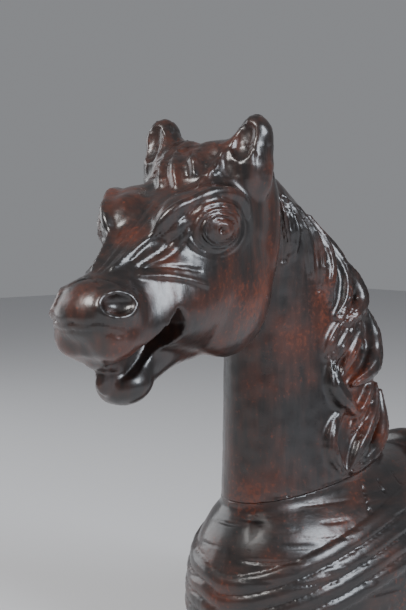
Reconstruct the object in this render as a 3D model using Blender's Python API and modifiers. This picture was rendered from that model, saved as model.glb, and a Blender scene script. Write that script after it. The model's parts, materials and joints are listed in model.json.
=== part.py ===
"""Carved wooden horse: a bust with the head, neck and chest.

Two blocks of wood: the head and neck with upright grain, and the chest and shoulders
with level grain, glued face to face along a sloping seam at the foot of the neck.
Metres, +Z up. The horse faces -Y, its left side is +X, and it stands on the plane z = 0.
The head turns a little to its left, and its parts are given in the head's own frame:
l to the horse's left, f forwards from the poll's axis, z up from the floor.
"""
import math

import bmesh
import bpy
import numpy as np
from mathutils import Matrix, Vector
from mathutils.bvhtree import BVHTree

# Driving dimensions
HEAD_TURN = math.radians(14.0)
POLL_AXIS = Vector((0.0, -0.030, 0.0))
SEAM_FRONT = Vector((0.0, -0.044, 0.1143))
SEAM_SLOPE = math.radians(9.6)
GLUE_GAP = 0.0003
MASS_VOXEL = 0.0020
CARVING_VOXEL = 0.0015
FACE_BUDGET = 9300

# Chest: level rings as height, front, back, half width
CHEST_RINGS = (
    (-0.030, -0.054, 0.146, 0.0600),
    (0.000, -0.0590, 0.151, 0.0640),
    (0.030, -0.0635, 0.155, 0.0670),
    (0.060, -0.0640, 0.156, 0.0670),
    (0.085, -0.0585, 0.154, 0.0620),
    (0.104, -0.0480, 0.148, 0.0530),
    (0.119, -0.0330, 0.138, 0.0390),
    (0.128, -0.0180, 0.128, 0.0260),
    (0.1325, 0.010, 0.112, 0.0110),
)

# Neck: level rings as height, front, back, half width
NECK_RINGS = (
    (0.080, -0.043, 0.090, 0.0400),
    (0.112, -0.045, 0.088, 0.0385),
    (0.140, -0.0445, 0.084, 0.0365),
    (0.170, -0.0445, 0.080, 0.0350),
    (0.205, -0.0445, 0.075, 0.0335),
    (0.235, -0.046, 0.064, 0.0325),
    (0.262, -0.048, 0.042, 0.0310),
    (0.285, -0.052, 0.020, 0.0300),
    (0.305, -0.058, -0.002, 0.0280),
    (0.321, -0.064, -0.022, 0.0240),
    (0.333, -0.074, -0.044, 0.0160),
)

# Face: upright rings across the head as forward place, bottom, top, half width, narrowing upwards
FACE_RINGS = (
    (0.030, 0.240, 0.330, 0.0310, 0.00),
    (0.055, 0.222, 0.333, 0.0380, 0.05),
    (0.078, 0.216, 0.319, 0.0395, 0.05),
    (0.100, 0.217, 0.3045, 0.0385, 0.10),
    (0.120, 0.221, 0.2905, 0.0335, 0.25),
    (0.140, 0.221, 0.2760, 0.0265, 0.38),
    (0.156, 0.220, 0.2650, 0.0225, 0.30),
    (0.168, 0.222, 0.2570, 0.0190, 0.20),
)

# Brow ridge of the left side, from the nose over the eye and down behind it, in the head's frame
BROW_RIDGE = (
    (0.0055, 0.1500, 0.2660), (0.0090, 0.1365, 0.2755), (0.0150, 0.1265, 0.2860), (0.0215, 0.1195, 0.2960),
    (0.0295, 0.1100, 0.3050), (0.0360, 0.1000, 0.3105), (0.0400, 0.0890, 0.3115), (0.0420, 0.0780, 0.3095),
    (0.0430, 0.0700, 0.3030), (0.0425, 0.0655, 0.2950),
)
EYE_CENTRE, EYE_NORMAL = Vector((0.0405, 0.0950, 0.2915)), Vector((0.83, 0.55, -0.08))
NOSTRIL_CENTRE, NOSTRIL_NORMAL = Vector((0.0222, 0.1640, 0.2510)), Vector((0.79, 0.51, 0.35))
EAR_CENTRE, EAR_NORMAL = Vector((0.0325, 0.0590, 0.3390)), Vector((0.05, 0.93, 0.36))

# Mane and braid on the left of the neck: places as angle from the left side towards the crest
# in degrees and height, then lift off the neck's skin, then the lock's radii along it
MANE_LOCKS = (
    (((3, 0.313), (-7, 0.302), (-15, 0.290), (-20, 0.278), (-26, 0.267)), 0.0000, (0.0012, 0.0030, 0.0030, 0.0010)),
    (((10, 0.308), (2, 0.296), (-7, 0.284), (-17, 0.271)), 0.0003, (0.0015, 0.0036, 0.0038, 0.0015)),
    (((15, 0.305), (8, 0.292), (3, 0.280), (-3, 0.267), (-5, 0.258)), 0.0005, (0.0015, 0.0038, 0.0038, 0.0010)),
    (((26, 0.302), (20, 0.288), (14, 0.274), (3, 0.258), (-3, 0.247)), 0.0005, (0.0015, 0.0042, 0.0042, 0.0012)),
    (((46, 0.296), (35, 0.280), (23, 0.266), (8, 0.252), (2, 0.239)), 0.0010, (0.0020, 0.0046, 0.0044, 0.0015)),
    (((64, 0.290), (50, 0.273), (37, 0.257), (18, 0.241), (3, 0.230)), 0.0020, (0.0025, 0.0054, 0.0052, 0.0020)),
)
BRAID_LOCKS = (
    (((54, 0.270), (48, 0.258), (42, 0.247), (34, 0.238), (19, 0.231), (6, 0.227)), 0.0035,
     (0.0020, 0.0068, 0.0074, 0.0058, 0.0020)),
    (((17, 0.233), (5, 0.225), (-4, 0.215), (-8, 0.205)), 0.0010, (0.0012, 0.0034, 0.0034, 0.0012)),
    (((27, 0.232), (13, 0.222), (2, 0.211), (-6, 0.200)), 0.0020, (0.0015, 0.0042, 0.0042, 0.0014)),
    (((35, 0.232), (21, 0.219), (9, 0.206), (0, 0.192)), 0.0030, (0.0015, 0.0050, 0.0050, 0.0015)),
    (((46, 0.238), (46, 0.222), (41, 0.205), (26, 0.193), (7, 0.186)), 0.0035, (0.0020, 0.0066, 0.0074, 0.0020)),
    (((-5, 0.202), (-5, 0.188), (1, 0.177), (12, 0.167)), 0.0025, (0.0020, 0.0062, 0.0066, 0.0020)),
    (((38, 0.192), (28, 0.179), (16, 0.167), (7, 0.156)), 0.0020, (0.0015, 0.0044, 0.0044, 0.0014)),
    (((43, 0.184), (33, 0.168), (19, 0.154), (8, 0.141), (2, 0.130)), 0.0030, (0.0020, 0.0056, 0.0056, 0.0012)),
    (((54, 0.178), (46, 0.160), (33, 0.146), (16, 0.136), (3, 0.129)), 0.0030, (0.0030, 0.0068, 0.0066, 0.0012)),
    (((1, 0.171), (-7, 0.160), (-10, 0.149), (-7, 0.138), (-1, 0.130)), 0.0010, (0.0015, 0.0044, 0.0050, 0.0012)),
)

# Forelock: locks between the ears, in the head's frame
FORELOCKS = (
    ((0.0030, 0.0650, 0.3350), (0.0080, 0.0745, 0.3270), (0.0140, 0.0820, 0.3175)),
    ((0.0215, 0.0635, 0.3335), (0.0215, 0.0735, 0.3240), (0.0190, 0.0830, 0.3150)),
    ((-0.0080, 0.0665, 0.3345), (-0.0015, 0.0790, 0.3230), (0.0060, 0.0895, 0.3110)),
    ((-0.0170, 0.0660, 0.3320), (-0.0110, 0.0790, 0.3215), (-0.0050, 0.0890, 0.3115)),
)

# Collar: upright spacing of its rolls, how far they stand out, and its upper edge
ROLL_PITCH = 0.0105
ROLL_COUNT = 4
ROLL_HEIGHT = 0.0024
COLLAR_LOW = 0.0703
COLLAR_RISE, COLLAR_SAG = 0.42, 0.71
COLLAR_REAR = 0.118


def head_frame():
    """Matrix from the head's own frame to the world."""
    turn = Matrix.Rotation(HEAD_TURN, 4, "Z")
    facing = Matrix.Diagonal(Vector((1.0, -1.0, 1.0, 1.0)))
    return Matrix.Translation(POLL_AXIS) @ turn @ facing


HEAD = head_frame()


def clear_scene():
    """Removes every object that the file starts with."""
    for obj in list(bpy.data.objects):
        bpy.data.objects.remove(obj, do_unlink=True)


def new_collection(name):
    """Makes a collection under the scene."""
    collection = bpy.data.collections.new(name)
    bpy.context.scene.collection.children.link(collection)
    return collection


def superellipse(angle, power):
    """Point at an angle on a unit superellipse."""
    c, s = math.cos(angle), math.sin(angle)
    return (math.copysign(abs(c) ** (2.0 / power), c), math.copysign(abs(s) ** (2.0 / power), s))


def smooth_path(points, steps):
    """Catmull-Rom curve through the points, evenly parted between each two."""
    pts = [Vector(p) for p in points]
    pts = [2.0 * pts[0] - pts[1]] + pts + [2.0 * pts[-1] - pts[-2]]
    path = []
    for a, b, c, d in zip(pts, pts[1:], pts[2:], pts[3:]):
        for i in range(steps):
            t = i / steps
            path.append(0.5 * (2.0 * b + (c - a) * t + (2.0 * a - 5.0 * b + 4.0 * c - d) * t ** 2
                               + (3.0 * b - a - 3.0 * c + d) * t ** 3))
    path.append(pts[-2])
    return path


def fill_rings(rings, steps=5):
    """Adds rings between the named ones, along smooth curves."""
    return [tuple(ring) for ring in smooth_path(rings, steps)]


def patch_frame(centre, normal):
    """Frame on the left of the head: x forwards along the skin, y up along it, z out of it."""
    out = normal.normalized()
    up = (Vector((0.0, 0.0, 1.0)) - out * out.z).normalized()
    ahead = up.cross(out)
    if ahead.y < 0.0:
        ahead.negate()
    axes = Matrix((ahead, up, out)).transposed().to_4x4()
    return Matrix.Translation(centre) @ axes


def mirrored(points):
    """The same places on the right of the head."""
    return [Vector((-p[0], p[1], p[2])) for p in points]


def loft(bm, rings):
    """Skins a row of rings with equal point counts and caps both ends."""
    loops = [[bm.verts.new(point) for point in ring] for ring in rings]
    count = len(loops[0])
    for lower, upper in zip(loops, loops[1:]):
        for i in range(count):
            j = (i + 1) % count
            bm.faces.new((lower[i], lower[j], upper[j], upper[i]))
    bm.faces.new(list(reversed(loops[0])))
    bm.faces.new(loops[-1])


def level_ring(height, front, back, half_width, power=2.1, steps=48):
    """Level ring of the neck or chest."""
    middle, half_length = (front + back) / 2.0, (back - front) / 2.0
    ring = []
    for i in range(steps):
        x, y = superellipse(2.0 * math.pi * i / steps, power)
        ring.append(Vector((half_width * x, middle + half_length * y, height)))
    return ring


def face_ring(forward, bottom, top, half_width, narrowing, power=2.35, steps=40):
    """Upright ring across the head, in world places."""
    middle, half_height = (bottom + top) / 2.0, (top - bottom) / 2.0
    ring = []
    for i in range(steps):
        side, rise = superellipse(-2.0 * math.pi * i / steps, power)
        lateral = half_width * side * (1.0 - narrowing * rise)
        ring.append(HEAD @ Vector((lateral, forward, middle + half_height * rise)))
    return ring


def ball(bm, centre, radii, frame=HEAD, pitch=0.0, yaw=0.0, roll=0.0):
    """Adds an ellipsoid; pitch tips its front up, yaw turns it to the left."""
    turn = (Matrix.Rotation(math.radians(-yaw), 4, "Z") @ Matrix.Rotation(math.radians(pitch), 4, "X")
            @ Matrix.Rotation(math.radians(roll), 4, "Y"))
    size = Matrix.Diagonal(Vector((*radii, 1.0)))
    bmesh.ops.create_uvsphere(bm, u_segments=40, v_segments=24, radius=1.0,
                              matrix=frame @ Matrix.Translation(Vector(centre)) @ turn @ size)


def pair(bm, centre, radii, pitch=0.0, yaw=0.0, roll=0.0):
    """Adds an ellipsoid on each side of the head."""
    l, f, z = centre
    ball(bm, (l, f, z), radii, pitch=pitch, yaw=yaw, roll=roll)
    ball(bm, (-l, f, z), radii, pitch=pitch, yaw=-yaw, roll=-roll)


def strand(bm, path, radii, flatness=1.0, sides=16):
    """Adds a bar along a path of world places, with its radii spread along it."""
    last = len(path) - 1
    spots = np.linspace(0.0, 1.0, len(radii))
    rings = []
    for i, point in enumerate(path):
        ahead = path[min(i + 1, last)] - path[max(i - 1, 0)]
        turn = ahead.to_track_quat("Z", "X")
        radius = float(np.interp(i / last, spots, radii))
        ring = []
        for k in range(sides):
            angle = 2.0 * math.pi * k / sides
            offset = Vector((radius * math.cos(angle), radius * flatness * math.sin(angle), 0.0))
            ring.append(point + turn @ offset)
        rings.append(ring)
    loft(bm, rings)


def head_strand(bm, points, radii, flatness=1.0, both=True, skin=None, lift=0.0):
    """Adds a bar along places in the head's frame, laid on a skin where one is given."""
    for side in ((points, mirrored(points)) if both else (points,)):
        path = [HEAD @ p for p in smooth_path(side, 6)]
        if skin is not None:
            nearest = [skin.find_nearest(p) for p in path]
            path = [place + normal * lift for place, normal, _, _ in nearest]
        strand(bm, path, radii, flatness)


def arc_places(frame, centre, half_length, half_height, start, end, steps=20):
    """Places on an elliptical arc in a patch frame; angles in degrees, 0 ahead and 90 up."""
    places = []
    for i in range(steps + 1):
        angle = math.radians(start + (end - start) * i / steps)
        places.append(frame @ Vector((centre[0] + half_length * math.cos(angle),
                                      centre[1] + half_height * math.sin(angle), 0.0)))
    return places


def neck_skin(angle, height, lift):
    """Place on the neck's skin at an angle from the left side, lifted off it."""
    rings = np.array(fill_rings(NECK_RINGS))
    front, back, half_width = (float(np.interp(height, rings[:, 0], rings[:, k])) for k in (1, 2, 3))
    x, y = superellipse(math.radians(angle), 2.1)
    half_length = (back - front) / 2.0
    return Vector(((half_width + lift) * x, (front + back) / 2.0 + (half_length + lift) * y, height))


def lock(bm, places, lift, radii):
    """Adds a lock of hair that lies on the neck's skin."""
    strand(bm, smooth_path([neck_skin(angle, height, lift) for angle, height in places], 6), radii)


def add_chest(bm):
    """Chest and shoulders down to below the floor, where the bust is cut."""
    loft(bm, [level_ring(*ring, power=2.2) for ring in fill_rings(CHEST_RINGS)])


def add_neck(bm):
    """Neck from inside the chest up to the poll."""
    loft(bm, [level_ring(*ring) for ring in fill_rings(NECK_RINGS)])


def add_skull(bm):
    """Skull, brows, cheeks and the long loft of the face."""
    loft(bm, [face_ring(*ring) for ring in fill_rings(FACE_RINGS)])
    ball(bm, (0.0, 0.052, 0.294), (0.0390, 0.040, 0.043))
    pair(bm, (0.0215, 0.0790, 0.2880), (0.0205, 0.0380, 0.0250), pitch=-12.0)
    pair(bm, (0.0250, 0.0850, 0.2965), (0.0185, 0.0270, 0.0175), pitch=-12.0)
    pair(bm, (0.0190, 0.1050, 0.2960), (0.0125, 0.0200, 0.0110), pitch=-35.0)
    pair(bm, (0.0205, 0.0625, 0.2580), (0.0195, 0.0470, 0.0455))
    pair(bm, (0.0180, 0.1120, 0.2645), (0.0150, 0.0330, 0.0130), pitch=-10.0, yaw=-16.0)
    pair(bm, (0.0240, 0.0300, 0.2900), (0.0135, 0.0160, 0.0450))


def add_muzzle(bm):
    """Upper lip and nose, swollen at the end of the face."""
    ball(bm, (0.0, 0.1530, 0.2455), (0.0270, 0.0245, 0.0195), pitch=-14.0)
    pair(bm, (0.0110, 0.1530, 0.2330), (0.0150, 0.0180, 0.0140), pitch=-20.0)
    ball(bm, (0.0, 0.1480, 0.2260), (0.0200, 0.0150, 0.0130), pitch=-35.0)
    pair(bm, (0.0165, 0.1350, 0.2400), (0.0100, 0.0220, 0.0140), pitch=-35.0, yaw=-8.0)


def add_jaw(bm):
    """Lower jaw and the round chin, under the mouth."""
    jaw = [(0.0, 0.078, 0.2340), (0.0, 0.100, 0.2260), (0.0, 0.120, 0.2150), (0.0, 0.135, 0.2055)]
    head_strand(bm, jaw, (0.0240, 0.0190, 0.0155, 0.0120), both=False)
    ball(bm, (0.0, 0.1310, 0.2045), (0.0170, 0.0168, 0.0125), pitch=-20.0)


def add_ears(bm):
    """Short, blunt ears that rise from the corners of the poll."""
    pair(bm, (0.0270, 0.0490, 0.3210), (0.0170, 0.0170, 0.0260), roll=8.0)
    pair(bm, (0.0325, 0.0470, 0.3390), (0.0118, 0.0115, 0.0170), roll=6.0)
    pair(bm, (0.0140, 0.0530, 0.3250), (0.0200, 0.0165, 0.0155), roll=22.0)


def add_saddle_front(bm):
    """Front edge of the saddle, a low arch across the back behind the withers."""
    arch = [(-0.054, 0.136, 0.088), (-0.036, 0.133, 0.118), (0.0, 0.131, 0.1315), (0.036, 0.133, 0.118),
            (0.054, 0.136, 0.088)]
    strand(bm, smooth_path(arch, 8), (0.006, 0.009, 0.010, 0.009, 0.006))


def add_brow_and_eyes(bm, skin):
    """Brow ridges, eyeballs and the lids round them."""
    ridge_radii = (0.0010, 0.0026, 0.0032, 0.0034, 0.0036, 0.0036, 0.0034, 0.0016)
    head_strand(bm, BROW_RIDGE, ridge_radii, skin=skin, lift=0.0010)
    frame = patch_frame(EYE_CENTRE, EYE_NORMAL)
    l, f, z = frame @ Vector((0.0005, -0.0025, -0.0035))
    yaw = math.degrees(math.atan2(EYE_NORMAL.x, EYE_NORMAL.y))
    pair(bm, (l, f, z), (0.0090, 0.0070, 0.0068), yaw=yaw)
    lids = arc_places(frame, (0.0, -0.0025), 0.0118, 0.0088, 0.0, 360.0)
    head_strand(bm, lids, (0.0017, 0.0017), skin=skin, lift=0.0005)
    fold = arc_places(frame, (-0.0005, -0.0010), 0.0160, 0.0130, -30.0, 215.0)
    head_strand(bm, fold, (0.0008, 0.0017, 0.0017, 0.0017, 0.0008), skin=skin, lift=0.0003)


def add_nostril_rims(bm, skin):
    """Raised rims of the nostrils."""
    frame = patch_frame(NOSTRIL_CENTRE, NOSTRIL_NORMAL)
    rim = arc_places(frame, (0.0, 0.0), 0.0118, 0.0080, 0.0, 360.0)
    head_strand(bm, rim, (0.0016, 0.0016), skin=skin)


def add_hair(bm, skin):
    """Forelock, mane and braid."""
    for places in FORELOCKS:
        head_strand(bm, places, (0.0016, 0.0030, 0.0016), both=False, skin=skin, lift=0.0005)
    for places, lift, radii in MANE_LOCKS + BRAID_LOCKS:
        lock(bm, places, lift, radii)


def add_tongue(bm):
    """Tongue and the lining of the lower lip, in the lower half of the open mouth."""
    tongue = [(0.0, 0.112, 0.2330), (0.0, 0.128, 0.2185), (0.0, 0.1440, 0.2095), (0.0, 0.1530, 0.2110)]
    head_strand(bm, tongue, (0.0140, 0.0150, 0.0125, 0.0070), flatness=0.48, both=False)


def mouth_cutter(bm, side):
    """Slot of the open mouth on one side, seen from the side as a curved band."""
    upper = [(0.0, 0.1245, 0.2475), (0.0, 0.1330, 0.2370), (0.0, 0.1430, 0.2280), (0.0, 0.1530, 0.2200),
             (0.0, 0.1640, 0.2120)]
    lower = [(0.0, 0.1180, 0.2380), (0.0, 0.1190, 0.2300), (0.0, 0.1250, 0.2200), (0.0, 0.1360, 0.2110),
             (0.0, 0.1520, 0.2030)]
    outline = smooth_path(lower, 4) + list(reversed(smooth_path(upper, 4)))
    inner, outer = 0.0070, 0.0500
    loft(bm, [[HEAD @ Vector((side * l, p.y, p.z)) for p in outline] for l in (inner, outer)])


def hollow_cutters(bm):
    """Cups of the nostrils and the ears' hollow fronts."""
    nostril = patch_frame(NOSTRIL_CENTRE, NOSTRIL_NORMAL)
    ear = patch_frame(EAR_CENTRE, EAR_NORMAL)
    swap = Matrix.Diagonal(Vector((-1.0, 1.0, 1.0, 1.0)))
    for side in (Matrix.Identity(4), swap):
        ball(bm, (0.0, 0.0, 0.0010), (0.0098, 0.0062, 0.0070), frame=HEAD @ side @ nostril)
        ball(bm, (0.0, 0.0, 0.0015), (0.0070, 0.0125, 0.0050), frame=HEAD @ side @ ear)


def build_masses(bm):
    """Large masses of the horse, still overlapping."""
    for add in (add_chest, add_neck, add_skull, add_muzzle, add_jaw, add_ears, add_saddle_front):
        add(bm)


def build_carving(bm, skin):
    """Raised carving that lies on the masses."""
    for add in (add_brow_and_eyes, add_nostril_rims, add_hair):
        add(bm, skin)


def mesh_from(build, name, collection, *args):
    """Runs a building function into a new object."""
    bm = bmesh.new()
    build(bm, *args)
    bmesh.ops.recalc_face_normals(bm, faces=bm.faces)
    mesh = bpy.data.meshes.new(name)
    bm.to_mesh(mesh)
    bm.free()
    obj = bpy.data.objects.new(name, mesh)
    collection.objects.link(obj)
    return obj


def bake(obj):
    """Applies an object's modifiers to its mesh."""
    graph = bpy.context.evaluated_depsgraph_get()
    mesh = bpy.data.meshes.new_from_object(obj.evaluated_get(graph), depsgraph=graph)
    obj.modifiers.clear()
    obj.data = mesh


def fuse(obj, voxel, smoothing):
    """Melts overlapping bodies into one skin with soft inner corners."""
    remesh = obj.modifiers.new("Fuse", "REMESH")
    remesh.mode = "VOXEL"
    remesh.voxel_size = voxel
    soften = obj.modifiers.new("Soften", "SMOOTH")
    soften.factor = 0.5
    soften.iterations = smoothing
    bake(obj)


def subtract(obj, cutter):
    """Cuts one body out of another."""
    cut = obj.modifiers.new("Cut", "BOOLEAN")
    cut.operation = "DIFFERENCE"
    cut.object = cutter
    bake(obj)
    bpy.data.objects.remove(cutter, do_unlink=True)


def join(base, other):
    """Joins the other mesh into the first object; their bodies still overlap."""
    bm = bmesh.new()
    bm.from_mesh(base.data)
    bm.from_mesh(other.data)
    bm.to_mesh(base.data)
    bm.free()
    bpy.data.objects.remove(other, do_unlink=True)


def smooth_step(value):
    """Eases a ramp between 0 and 1."""
    t = np.clip(value, 0.0, 1.0)
    return t * t * (3.0 - 2.0 * t)


def carve_collar(obj):
    """Presses the collar's rolls into the chest, running back and up to the saddle."""
    mesh = obj.data
    count = len(mesh.vertices)
    places, normals = np.empty(count * 3), np.empty(count * 3)
    mesh.vertices.foreach_get("co", places)
    mesh.vertices.foreach_get("normal", normals)
    places, normals = places.reshape(-1, 3), normals.reshape(-1, 3)
    x, y, z = places.T
    back = np.clip(y + 0.064, 0.0, None)
    upper_edge = COLLAR_LOW + COLLAR_RISE * back - COLLAR_SAG * back ** 2 + 0.006 * smooth_step((0.012 - x) / 0.024)
    below = (upper_edge - z) / ROLL_PITCH
    across = 2.0 * np.abs(below - np.floor(below) - 0.5)
    rolls = ROLL_HEIGHT * np.sqrt(np.clip(1.0 - across ** 2, 0.0, 1.0))
    inside = (below > 0.0) & (below < ROLL_COUNT) & (z < 0.130)
    fade = smooth_step((COLLAR_REAR - y) / 0.02)
    places += normals * (rolls * inside * fade)[:, None]
    mesh.vertices.foreach_set("co", places.ravel())
    mesh.update()


def simplify(obj, faces):
    """Spends a budget of triangles where the form bends most."""
    reduce = obj.modifiers.new("Simplify", "DECIMATE")
    reduce.ratio = faces / sum(len(polygon.vertices) - 2 for polygon in obj.data.polygons)
    reduce.use_collapse_triangulate = True
    bake(obj)


def cut_flat(bm, point, normal):
    """Removes what lies past a plane and closes the cut with a flat face."""
    everything = bm.verts[:] + bm.edges[:] + bm.faces[:]
    bmesh.ops.bisect_plane(bm, geom=everything, dist=1e-6, plane_co=point, plane_no=normal, clear_outer=True)
    rim = [edge for edge in bm.edges if edge.is_boundary]
    cap = bmesh.ops.holes_fill(bm, edges=rim, sides=0)["faces"]
    bmesh.ops.triangulate(bm, faces=cap)


def wood(name, colour, roughness):
    """Waxed dark wood."""
    material = bpy.data.materials.new(name)
    material.use_nodes = True
    shader = material.node_tree.nodes["Principled BSDF"]
    shader.inputs["Base Color"].default_value = (*colour, 1.0)
    shader.inputs["Roughness"].default_value = roughness
    shader.inputs["Metallic"].default_value = 0.0
    return material


def block(name, source, cuts, material, collection):
    """Makes one block of the horse: the carved form between its flat cuts."""
    bm = bmesh.new()
    bm.from_mesh(source.data)
    for point, normal in cuts:
        cut_flat(bm, point, normal)
    mesh = bpy.data.meshes.new(name)
    bm.to_mesh(mesh)
    bm.free()
    mesh.materials.append(material)
    mesh.shade_smooth()
    mesh.set_sharp_from_angle(angle=math.radians(50.0))
    obj = bpy.data.objects.new(name, mesh)
    collection.objects.link(obj)
    return obj


def main():
    clear_scene()
    parts = new_collection("carved_wooden_horse")
    horse = mesh_from(build_masses, "horse", parts)
    fuse(horse, MASS_VOXEL, 10)
    skin = BVHTree.FromObject(horse, bpy.context.evaluated_depsgraph_get())
    join(horse, mesh_from(build_carving, "carving", parts, skin))
    fuse(horse, CARVING_VOXEL, 2)
    for side in (1, -1):
        subtract(horse, mesh_from(mouth_cutter, "mouth", parts, side))
    subtract(horse, mesh_from(hollow_cutters, "hollows", parts))
    join(horse, mesh_from(add_tongue, "tongue", parts))
    fuse(horse, CARVING_VOXEL, 2)
    carve_collar(horse)
    simplify(horse, FACE_BUDGET)

    upwards = Vector((0.0, -math.sin(SEAM_SLOPE), math.cos(SEAM_SLOPE)))
    half_gap = upwards * (GLUE_GAP / 2.0)
    floor_cut = (Vector((0.0, 0.0, 0.0)), Vector((0.0, 0.0, -1.0)))
    dark, warm = (0.045, 0.022, 0.014), (0.060, 0.024, 0.013)
    block("neck_and_head", horse, [(SEAM_FRONT + half_gap, -upwards)], wood("upright_grain", warm, 0.32), parts)
    block("chest_and_shoulders", horse, [(SEAM_FRONT - half_gap, upwards), floor_cut],
          wood("level_grain", dark, 0.38), parts)
    bpy.data.objects.remove(horse, do_unlink=True)


main()
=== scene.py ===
"""Carved wooden horse, the looks: both blocks carved finely, dark waxed wood, and a plain studio."""
import math

import bmesh
import bpy
import numpy as np
from mathutils import Matrix, Vector, noise
from mathutils.bvhtree import BVHTree
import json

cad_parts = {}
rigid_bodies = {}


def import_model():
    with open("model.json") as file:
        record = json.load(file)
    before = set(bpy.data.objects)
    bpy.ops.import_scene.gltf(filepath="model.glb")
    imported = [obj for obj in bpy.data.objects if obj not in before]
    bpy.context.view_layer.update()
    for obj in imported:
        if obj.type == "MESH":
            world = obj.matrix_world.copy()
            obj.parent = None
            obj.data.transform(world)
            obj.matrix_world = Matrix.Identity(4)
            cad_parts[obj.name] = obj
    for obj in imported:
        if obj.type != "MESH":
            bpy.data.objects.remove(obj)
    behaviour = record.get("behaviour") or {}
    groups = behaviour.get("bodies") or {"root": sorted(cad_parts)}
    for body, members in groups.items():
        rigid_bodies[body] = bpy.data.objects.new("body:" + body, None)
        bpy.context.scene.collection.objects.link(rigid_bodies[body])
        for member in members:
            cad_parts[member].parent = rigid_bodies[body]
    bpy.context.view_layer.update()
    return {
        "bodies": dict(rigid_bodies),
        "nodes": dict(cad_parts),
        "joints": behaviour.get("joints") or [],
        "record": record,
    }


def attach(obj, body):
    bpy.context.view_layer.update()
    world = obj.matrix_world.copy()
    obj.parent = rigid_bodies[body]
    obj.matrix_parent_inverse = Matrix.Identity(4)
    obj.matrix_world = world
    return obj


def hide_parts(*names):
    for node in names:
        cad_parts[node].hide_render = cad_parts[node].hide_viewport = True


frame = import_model()

# Driving dimensions
HEAD_TURN = math.radians(14.0)
POLL_AXIS = Vector((0.0, -0.030, 0.0))
SEAM_FRONT = Vector((0.0, -0.044, 0.1143))
SEAM_SLOPE = math.radians(9.6)
GLUE_GAP = 0.0003
MASS_VOXEL = 0.0020
CARVING_VOXEL = 0.00135

# Chest: level rings as height, front, back, half width
CHEST_RINGS = (
    (-0.030, -0.054, 0.146, 0.0600),
    (0.000, -0.0590, 0.151, 0.0640),
    (0.030, -0.0635, 0.155, 0.0670),
    (0.060, -0.0640, 0.156, 0.0670),
    (0.085, -0.0585, 0.154, 0.0620),
    (0.104, -0.0480, 0.148, 0.0530),
    (0.119, -0.0330, 0.138, 0.0390),
    (0.128, -0.0180, 0.128, 0.0260),
    (0.1325, 0.010, 0.112, 0.0110),
)

# Neck: level rings as height, front, back, half width
NECK_RINGS = (
    (0.080, -0.043, 0.090, 0.0400),
    (0.112, -0.045, 0.088, 0.0385),
    (0.140, -0.0445, 0.084, 0.0365),
    (0.170, -0.0445, 0.080, 0.0350),
    (0.205, -0.0445, 0.075, 0.0335),
    (0.235, -0.046, 0.064, 0.0325),
    (0.262, -0.048, 0.042, 0.0310),
    (0.285, -0.052, 0.020, 0.0300),
    (0.305, -0.058, -0.002, 0.0280),
    (0.321, -0.064, -0.022, 0.0240),
    (0.333, -0.074, -0.044, 0.0160),
)

# Face: upright rings across the head as forward place, bottom, top, half width, narrowing upwards
FACE_RINGS = (
    (0.030, 0.240, 0.330, 0.0310, 0.00),
    (0.055, 0.222, 0.333, 0.0380, 0.05),
    (0.078, 0.216, 0.319, 0.0395, 0.05),
    (0.100, 0.217, 0.3045, 0.0385, 0.10),
    (0.120, 0.221, 0.2905, 0.0335, 0.25),
    (0.140, 0.221, 0.2760, 0.0265, 0.38),
    (0.156, 0.220, 0.2650, 0.0225, 0.30),
    (0.168, 0.222, 0.2570, 0.0190, 0.20),
)

# Brow ridge of the left side, from the nose over the eye and down behind it, in the head's frame
BROW_RIDGE = (
    (0.0055, 0.1500, 0.2660), (0.0090, 0.1365, 0.2755), (0.0150, 0.1265, 0.2860), (0.0215, 0.1195, 0.2960),
    (0.0295, 0.1100, 0.3050), (0.0360, 0.1000, 0.3105), (0.0400, 0.0890, 0.3115), (0.0420, 0.0780, 0.3095),
    (0.0430, 0.0700, 0.3030), (0.0425, 0.0655, 0.2950),
)
EYE_CENTRE, EYE_NORMAL = Vector((0.0405, 0.0950, 0.2915)), Vector((0.83, 0.55, -0.08))
NOSTRIL_CENTRE, NOSTRIL_NORMAL = Vector((0.0222, 0.1640, 0.2510)), Vector((0.79, 0.51, 0.35))
EAR_CENTRE, EAR_NORMAL = Vector((0.0325, 0.0590, 0.3390)), Vector((0.05, 0.93, 0.36))

# Mane and braid on the left of the neck: places as angle from the left side towards the crest
# in degrees and height, then lift off the neck's skin, then the lock's radii along it
MANE_LOCKS = (
    (((3, 0.313), (-7, 0.302), (-15, 0.290), (-20, 0.278), (-26, 0.267)), 0.0000,
     (0.0012, 0.0030, 0.0030, 0.0010)),
    (((10, 0.308), (2, 0.296), (-7, 0.284), (-17, 0.271)), 0.0003, (0.0015, 0.0036, 0.0038, 0.0015)),
    (((15, 0.305), (8, 0.292), (3, 0.280), (-3, 0.267), (-5, 0.258)), 0.0005,
     (0.0015, 0.0038, 0.0038, 0.0010)),
    (((26, 0.302), (20, 0.288), (14, 0.274), (3, 0.258), (-3, 0.247)), 0.0005,
     (0.0015, 0.0042, 0.0042, 0.0012)),
    (((46, 0.296), (35, 0.280), (23, 0.266), (8, 0.252), (2, 0.239)), 0.0010,
     (0.0020, 0.0046, 0.0044, 0.0015)),
    (((64, 0.290), (50, 0.273), (37, 0.257), (18, 0.241), (3, 0.230)), 0.0020,
     (0.0025, 0.0054, 0.0052, 0.0020)),
)
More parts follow.
